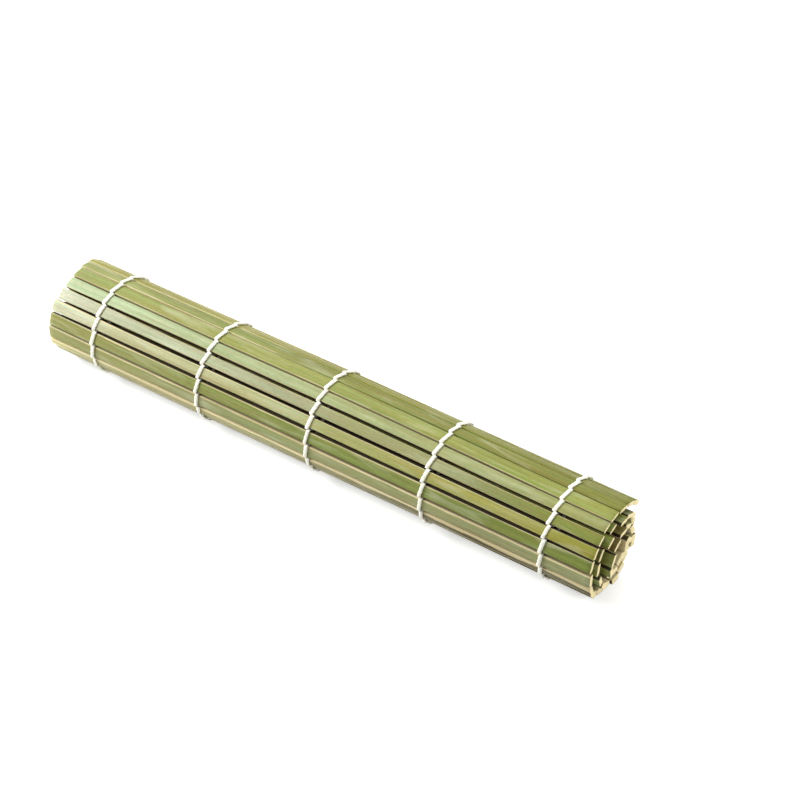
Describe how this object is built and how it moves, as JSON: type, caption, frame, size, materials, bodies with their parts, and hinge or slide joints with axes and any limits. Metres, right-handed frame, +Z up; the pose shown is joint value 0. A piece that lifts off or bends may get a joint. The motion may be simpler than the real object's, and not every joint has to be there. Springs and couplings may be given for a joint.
{
  "type": "sushi rolling mat",
  "caption": "Square mat of flat bamboo slats twined together with cotton, rolled up, that unrolls flat to shape rice rolls.",
  "frame": {"origin": "on the table, under the middle twine row of the slat that faces straight down", "axes": "+X along the slats and the roll, +Y away from the side where the outer layer comes down, +Z up"},
  "size_m": [0.2452, 0.0379, 0.0388],
  "materials": {
    "bamboo": "split green bamboo with its smooth outer skin, satin, unvarnished, cream at the cut edges",
    "cotton_twine": "soft twisted cotton twine, undyed, matt"
  },
  "bodies": {
    "slat_01": {"slat_01": "bamboo", "edge_loop_1": "cotton_twine", "edge_loop_2": "cotton_twine", "edge_loop_3": "cotton_twine", "edge_loop_4": "cotton_twine", "edge_loop_5": "cotton_twine"},
    "slat_02": {"slat_02": "bamboo"},
    "slat_03": {"slat_03": "bamboo"},
    "slat_04": {"slat_04": "bamboo"},
    "slat_05": {"slat_05": "bamboo"},
    "slat_06": {"slat_06": "bamboo"},
    "slat_07": {"slat_07": "bamboo"},
    "slat_08": {"slat_08": "bamboo"},
    "slat_09": {"slat_09": "bamboo"},
    "slat_10": {"slat_10": "bamboo"},
    "slat_11": {"slat_11": "bamboo"},
    "slat_12": {"slat_12": "bamboo"},
    "slat_13": {"slat_13": "bamboo"},
    "slat_14": {"slat_14": "bamboo"},
    "slat_15": {"slat_15": "bamboo"},
    "slat_16": {"slat_16": "bamboo"},
    "slat_17": {"slat_17": "bamboo"},
    "slat_18": {"slat_18": "bamboo"},
    "slat_19": {"slat_19": "bamboo"},
    "slat_20": {"slat_20": "bamboo"},
    "slat_21": {"slat_21": "bamboo"},
    "slat_22": {"slat_22": "bamboo"},
    "slat_23": {"slat_23": "bamboo"},
    "slat_24": {"slat_24": "bamboo"},
    "slat_25": {"slat_25": "bamboo"},
    "slat_26": {"slat_26": "bamboo"},
    "slat_27": {"slat_27": "bamboo"},
    "slat_28": {"slat_28": "bamboo"},
    "slat_29": {"slat_29": "bamboo"},
    "slat_30": {"slat_30": "bamboo"},
    "slat_31": {"slat_31": "bamboo"},
    "slat_32": {"slat_32": "bamboo"},
    "slat_33": {"slat_33": "bamboo"},
    "slat_34": {"slat_34": "bamboo"},
    "slat_35": {"slat_35": "bamboo"},
    "slat_36": {"slat_36": "bamboo"},
    "slat_37": {"slat_37": "bamboo"},
    "slat_38": {"slat_38": "bamboo"},
    "slat_39": {"slat_39": "bamboo"},
    "slat_40": {"slat_40": "bamboo"},
    "slat_41": {"slat_41": "bamboo"},
    "slat_42": {"slat_42": "bamboo"},
    "slat_43": {"slat_43": "bamboo"},
    "slat_44": {"slat_44": "bamboo", "end_knot_1": "cotton_twine", "end_knot_2": "cotton_twine", "end_knot_3": "cotton_twine", "end_knot_4": "cotton_twine", "end_knot_5": "cotton_twine"}
  },
  "joints": [
    {"name": "unroll", "type": "hinge", "parent": "slat_14", "child": "slat_15", "pos_m": [0, 0.00255, 0.00235], "axis": [-1, 0, 0], "range_deg": [0, 19.73]},
    {"name": "fold_15_16", "type": "hinge", "parent": "slat_15", "child": "slat_16", "pos_m": [0, 0.0081, 0.00434], "axis": [-1, 0, 0], "range_deg": [0, 21.87]},
    {"name": "fold_16_17", "type": "hinge", "parent": "slat_16", "child": "slat_17", "pos_m": [0, 0.01266, 0.00839], "axis": [-1, 0, 0], "range_deg": [0, 22.43]},
    {"name": "fold_17_18", "type": "hinge", "parent": "slat_17", "child": "slat_18", "pos_m": [0, 0.01529, 0.01379], "axis": [-1, 0, 0], "range_deg": [0, 21.5]},
    {"name": "fold_18_19", "type": "hinge", "parent": "slat_18", "child": "slat_19", "pos_m": [0, 0.01571, 0.01917], "axis": [-1, 0, 0], "range_deg": [0, 20.7]},
    {"name": "fold_19_20", "type": "hinge", "parent": "slat_19", "child": "slat_20", "pos_m": [0, 0.0142, 0.02436], "axis": [-1, 0, 0], "range_deg": [0, 21.44]},
    {"name": "fold_20_21", "type": "hinge", "parent": "slat_20", "child": "slat_21", "pos_m": [0, 0.01078, 0.02879], "axis": [-1, 0, 0], "range_deg": [0, 22.42]},
    {"name": "fold_21_22", "type": "hinge", "parent": "slat_21", "child": "slat_22", "pos_m": [0, 0.00584, 0.03163], "axis": [-1, 0, 0], "range_deg": [0, 21.84]},
    {"name": "fold_22_23", "type": "hinge", "parent": "slat_22", "child": "slat_23", "pos_m": [0, 0.00079, 0.03234], "axis": [-1, 0, 0], "range_deg": [0, 20.99]},
    {"name": "fold_23_24", "type": "hinge", "parent": "slat_23", "child": "slat_24", "pos_m": [0, -0.00418, 0.0312], "axis": [-1, 0, 0], "range_deg": [0, 21.37]},
    {"name": "fold_24_25", "type": "hinge", "parent": "slat_24", "child": "slat_25", "pos_m": [0, -0.0084, 0.02833], "axis": [-1, 0, 0], "range_deg": [0, 22.84]},
    {"name": "fold_25_26", "type": "hinge", "parent": "slat_25", "child": "slat_26", "pos_m": [0, -0.01144, 0.02363], "axis": [-1, 0, 0], "range_deg": [0, 25.3]},
    {"name": "fold_26_27", "type": "hinge", "parent": "slat_26", "child": "slat_27", "pos_m": [0, -0.01223, 0.01768], "axis": [-1, 0, 0], "range_deg": [0, 24.8]},
    {"name": "fold_27_28", "type": "hinge", "parent": "slat_27", "child": "slat_28", "pos_m": [0, -0.01072, 0.01281], "axis": [-1, 0, 0], "range_deg": [0, 23.06]},
    {"name": "fold_28_29", "type": "hinge", "parent": "slat_28", "child": "slat_29", "pos_m": [0, -0.00748, 0.00899], "axis": [-1, 0, 0], "range_deg": [0, 23.57]},
    {"name": "fold_29_30", "type": "hinge", "parent": "slat_29", "child": "slat_30", "pos_m": [0, -0.0029, 0.00675], "axis": [-1, 0, 0], "range_deg": [0, 24.36]},
    {"name": "fold_30_31", "type": "hinge", "parent": "slat_30", "child": "slat_31", "pos_m": [0, 0.00219, 0.00659], "axis": [-1, 0, 0], "range_deg": [0, 24.97]},
    {"name": "fold_31_32", "type": "hinge", "parent": "slat_31", "child": "slat_32", "pos_m": [0, 0.00688, 0.0086], "axis": [-1, 0, 0], "range_deg": [0, 27.64]},
    {"name": "fold_32_33", "type": "hinge", "parent": "slat_32", "child": "slat_33", "pos_m": [0, 0.01061, 0.01317], "axis": [-1, 0, 0], "range_deg": [0, 31.12]},
    {"name": "fold_33_34", "type": "hinge", "parent": "slat_33", "child": "slat_34", "pos_m": [0, 0.01146, 0.01921], "axis": [-1, 0, 0], "range_deg": [0, 32.49]},
    {"name": "fold_34_35", "type": "hinge", "parent": "slat_34", "child": "slat_35", "pos_m": [0, 0.00898, 0.02467], "axis": [-1, 0, 0], "range_deg": [0, 31.77]},
    {"name": "fold_35_36", "type": "hinge", "parent": "slat_35", "child": "slat_36", "pos_m": [0, 0.00449, 0.02768], "axis": [-1, 0, 0], "range_deg": [0, 31.19]},
    {"name": "fold_36_37", "type": "hinge", "parent": "slat_36", "child": "slat_37", "pos_m": [0, -0.0009, 0.02792], "axis": [-1, 0, 0], "range_deg": [0, 33.02]},
    {"name": "fold_37_38", "type": "hinge", "parent": "slat_37", "child": "slat_38", "pos_m": [0, -0.00573, 0.02509], "axis": [-1, 0, 0], "range_deg": [0, 35.43]},
    {"name": "fold_38_39", "type": "hinge", "parent": "slat_38", "child": "slat_39", "pos_m": [0, -0.00806, 0.01988], "axis": [-1, 0, 0], "range_deg": [0, 35.54]},
    {"name": "fold_39_40", "type": "hinge", "parent": "slat_39", "child": "slat_40", "pos_m": [0, -0.00705, 0.01488], "axis": [-1, 0, 0], "range_deg": [0, 35.21]},
    {"name": "fold_40_41", "type": "hinge", "parent": "slat_40", "child": "slat_41", "pos_m": [0, -0.00335, 0.01138], "axis": [-1, 0, 0], "range_deg": [0, 37.12]},
    {"name": "fold_41_42", "type": "hinge", "parent": "slat_41", "child": "slat_42", "pos_m": [0, 0.00172, 0.01082], "axis": [-1, 0, 0], "range_deg": [0, 41.3]},
    {"name": "fold_42_43", "type": "hinge", "parent": "slat_42", "child": "slat_43", "pos_m": [0, 0.00631, 0.01404], "axis": [-1, 0, 0], "range_deg": [0, 48.21]},
    {"name": "fold_43_44", "type": "hinge", "parent": "slat_43", "child": "slat_44", "pos_m": [0, 0.00701, 0.02], "axis": [-1, 0, 0], "range_deg": [0, 50.67]},
    {"name": "fold_13_14", "type": "hinge", "parent": "slat_14", "child": "slat_13", "pos_m": [0, -0.00255, 0.00235], "axis": [1, 0, 0], "range_deg": [0, 18.05]},
    {"name": "fold_12_13", "type": "hinge", "parent": "slat_13", "child": "slat_12", "pos_m": [0, -0.0074, 0.00393], "axis": [1, 0, 0], "range_deg": [0, 17.82]},
    {"name": "fold_11_12", "type": "hinge", "parent": "slat_12", "child": "slat_11", "pos_m": [0, -0.01153, 0.00692], "axis": [1, 0, 0], "range_deg": [0, 17.43]},
    {"name": "fold_10_11", "type": "hinge", "parent": "slat_11", "child": "slat_10", "pos_m": [0, -0.01452, 0.01093], "axis": [1, 0, 0], "range_deg": [0, 17.21]},
    {"name": "fold_09_10", "type": "hinge", "parent": "slat_10", "child": "slat_09", "pos_m": [0, -0.01622, 0.01574], "axis": [1, 0, 0], "range_deg": [0, 18.69]},
    {"name": "fold_08_09", "type": "hinge", "parent": "slat_09", "child": "slat_08", "pos_m": [0, -0.0163, 0.02174], "axis": [1, 0, 0], "range_deg": [0, 19.27]},
    {"name": "fold_07_08", "type": "hinge", "parent": "slat_08", "child": "slat_07", "pos_m": [0, -0.01453, 0.02705], "axis": [1, 0, 0], "range_deg": [0, 17.55]},
    {"name": "fold_06_07", "type": "hinge", "parent": "slat_07", "child": "slat_06", "pos_m": [0, -0.01153, 0.03117], "axis": [1, 0, 0], "range_deg": [0, 16.54]},
    {"name": "fold_05_06", "type": "hinge", "parent": "slat_06", "child": "slat_05", "pos_m": [0, -0.00748, 0.03427], "axis": [1, 0, 0], "range_deg": [0, 16.36]},
    {"name": "fold_04_05", "type": "hinge", "parent": "slat_05", "child": "slat_04", "pos_m": [0, -0.00272, 0.0361], "axis": [1, 0, 0], "range_deg": [0, 17.14]},
    {"name": "fold_03_04", "type": "hinge", "parent": "slat_04", "child": "slat_03", "pos_m": [0, 0.00297, 0.03649], "axis": [1, 0, 0], "range_deg": [0, 17.73]},
    {"name": "fold_02_03", "type": "hinge", "parent": "slat_03", "child": "slat_02", "pos_m": [0, 0.00841, 0.03516], "axis": [1, 0, 0], "range_deg": [0, 15.36]},
    {"name": "fold_01_02", "type": "hinge", "parent": "slat_02", "child": "slat_01", "pos_m": [0, 0.01312, 0.03253], "axis": [1, 0, 0], "range_deg": [0, 14.92]}
  ],
  "couplings": [
    {"joint": "fold_15_16", "follows": "unroll", "ratio": 1.1084},
    {"joint": "fold_16_17", "follows": "unroll", "ratio": 1.1368},
    {"joint": "fold_17_18", "follows": "unroll", "ratio": 1.0897},
    {"joint": "fold_18_19", "follows": "unroll", "ratio": 1.0491},
    {"joint": "fold_19_20", "follows": "unroll", "ratio": 1.0864},
    {"joint": "fold_20_21", "follows": "unroll", "ratio": 1.1362},
    {"joint": "fold_21_22", "follows": "unroll", "ratio": 1.1065},
    {"joint": "fold_22_23", "follows": "unroll", "ratio": 1.0635},
    {"joint": "fold_23_24", "follows": "unroll", "ratio": 1.0829},
    {"joint": "fold_24_25", "follows": "unroll", "ratio": 1.1576},
    {"joint": "fold_25_26", "follows": "unroll", "ratio": 1.2822},
    {"joint": "fold_26_27", "follows": "unroll", "ratio": 1.2569},
    {"joint": "fold_27_28", "follows": "unroll", "ratio": 1.1684},
    {"joint": "fold_28_29", "follows": "unroll", "ratio": 1.1943},
    {"joint": "fold_29_30", "follows": "unroll", "ratio": 1.2348},
    {"joint": "fold_30_31", "follows": "unroll", "ratio": 1.2655},
    {"joint": "fold_31_32", "follows": "unroll", "ratio": 1.4005},
    {"joint": "fold_32_33", "follows": "unroll", "ratio": 1.577},
    {"joint": "fold_33_34", "follows": "unroll", "ratio": 1.6467},
    {"joint": "fold_34_35", "follows": "unroll", "ratio": 1.61},
    {"joint": "fold_35_36", "follows": "unroll", "ratio": 1.5808},
    {"joint": "fold_36_37", "follows": "unroll", "ratio": 1.6735},
    {"joint": "fold_37_38", "follows": "unroll", "ratio": 1.7954},
    {"joint": "fold_38_39", "follows": "unroll", "ratio": 1.8011},
    {"joint": "fold_39_40", "follows": "unroll", "ratio": 1.7842},
    {"joint": "fold_40_41", "follows": "unroll", "ratio": 1.8809},
    {"joint": "fold_41_42", "follows": "unroll", "ratio": 2.0931},
    {"joint": "fold_42_43", "follows": "unroll", "ratio": 2.4433},
    {"joint": "fold_43_44", "follows": "unroll", "ratio": 2.5676},
    {"joint": "fold_13_14", "follows": "unroll", "ratio": 0.91498},
    {"joint": "fold_12_13", "follows": "unroll", "ratio": 0.90316},
    {"joint": "fold_11_12", "follows": "unroll", "ratio": 0.88305},
    {"joint": "fold_10_11", "follows": "unroll", "ratio": 0.87241},
    {"joint": "fold_09_10", "follows": "unroll", "ratio": 0.94729},
    {"joint": "fold_08_09", "follows": "unroll", "ratio": 0.97636},
    {"joint": "fold_07_08", "follows": "unroll", "ratio": 0.88936},
    {"joint": "fold_06_07", "follows": "unroll", "ratio": 0.83837},
    {"joint": "fold_05_06", "follows": "unroll", "ratio": 0.82925},
    {"joint": "fold_04_05", "follows": "unroll", "ratio": 0.86869},
    {"joint": "fold_03_04", "follows": "unroll", "ratio": 0.89833},
    {"joint": "fold_02_03", "follows": "unroll", "ratio": 0.77824},
    {"joint": "fold_01_02", "follows": "unroll", "ratio": 0.75604}
  ]
}
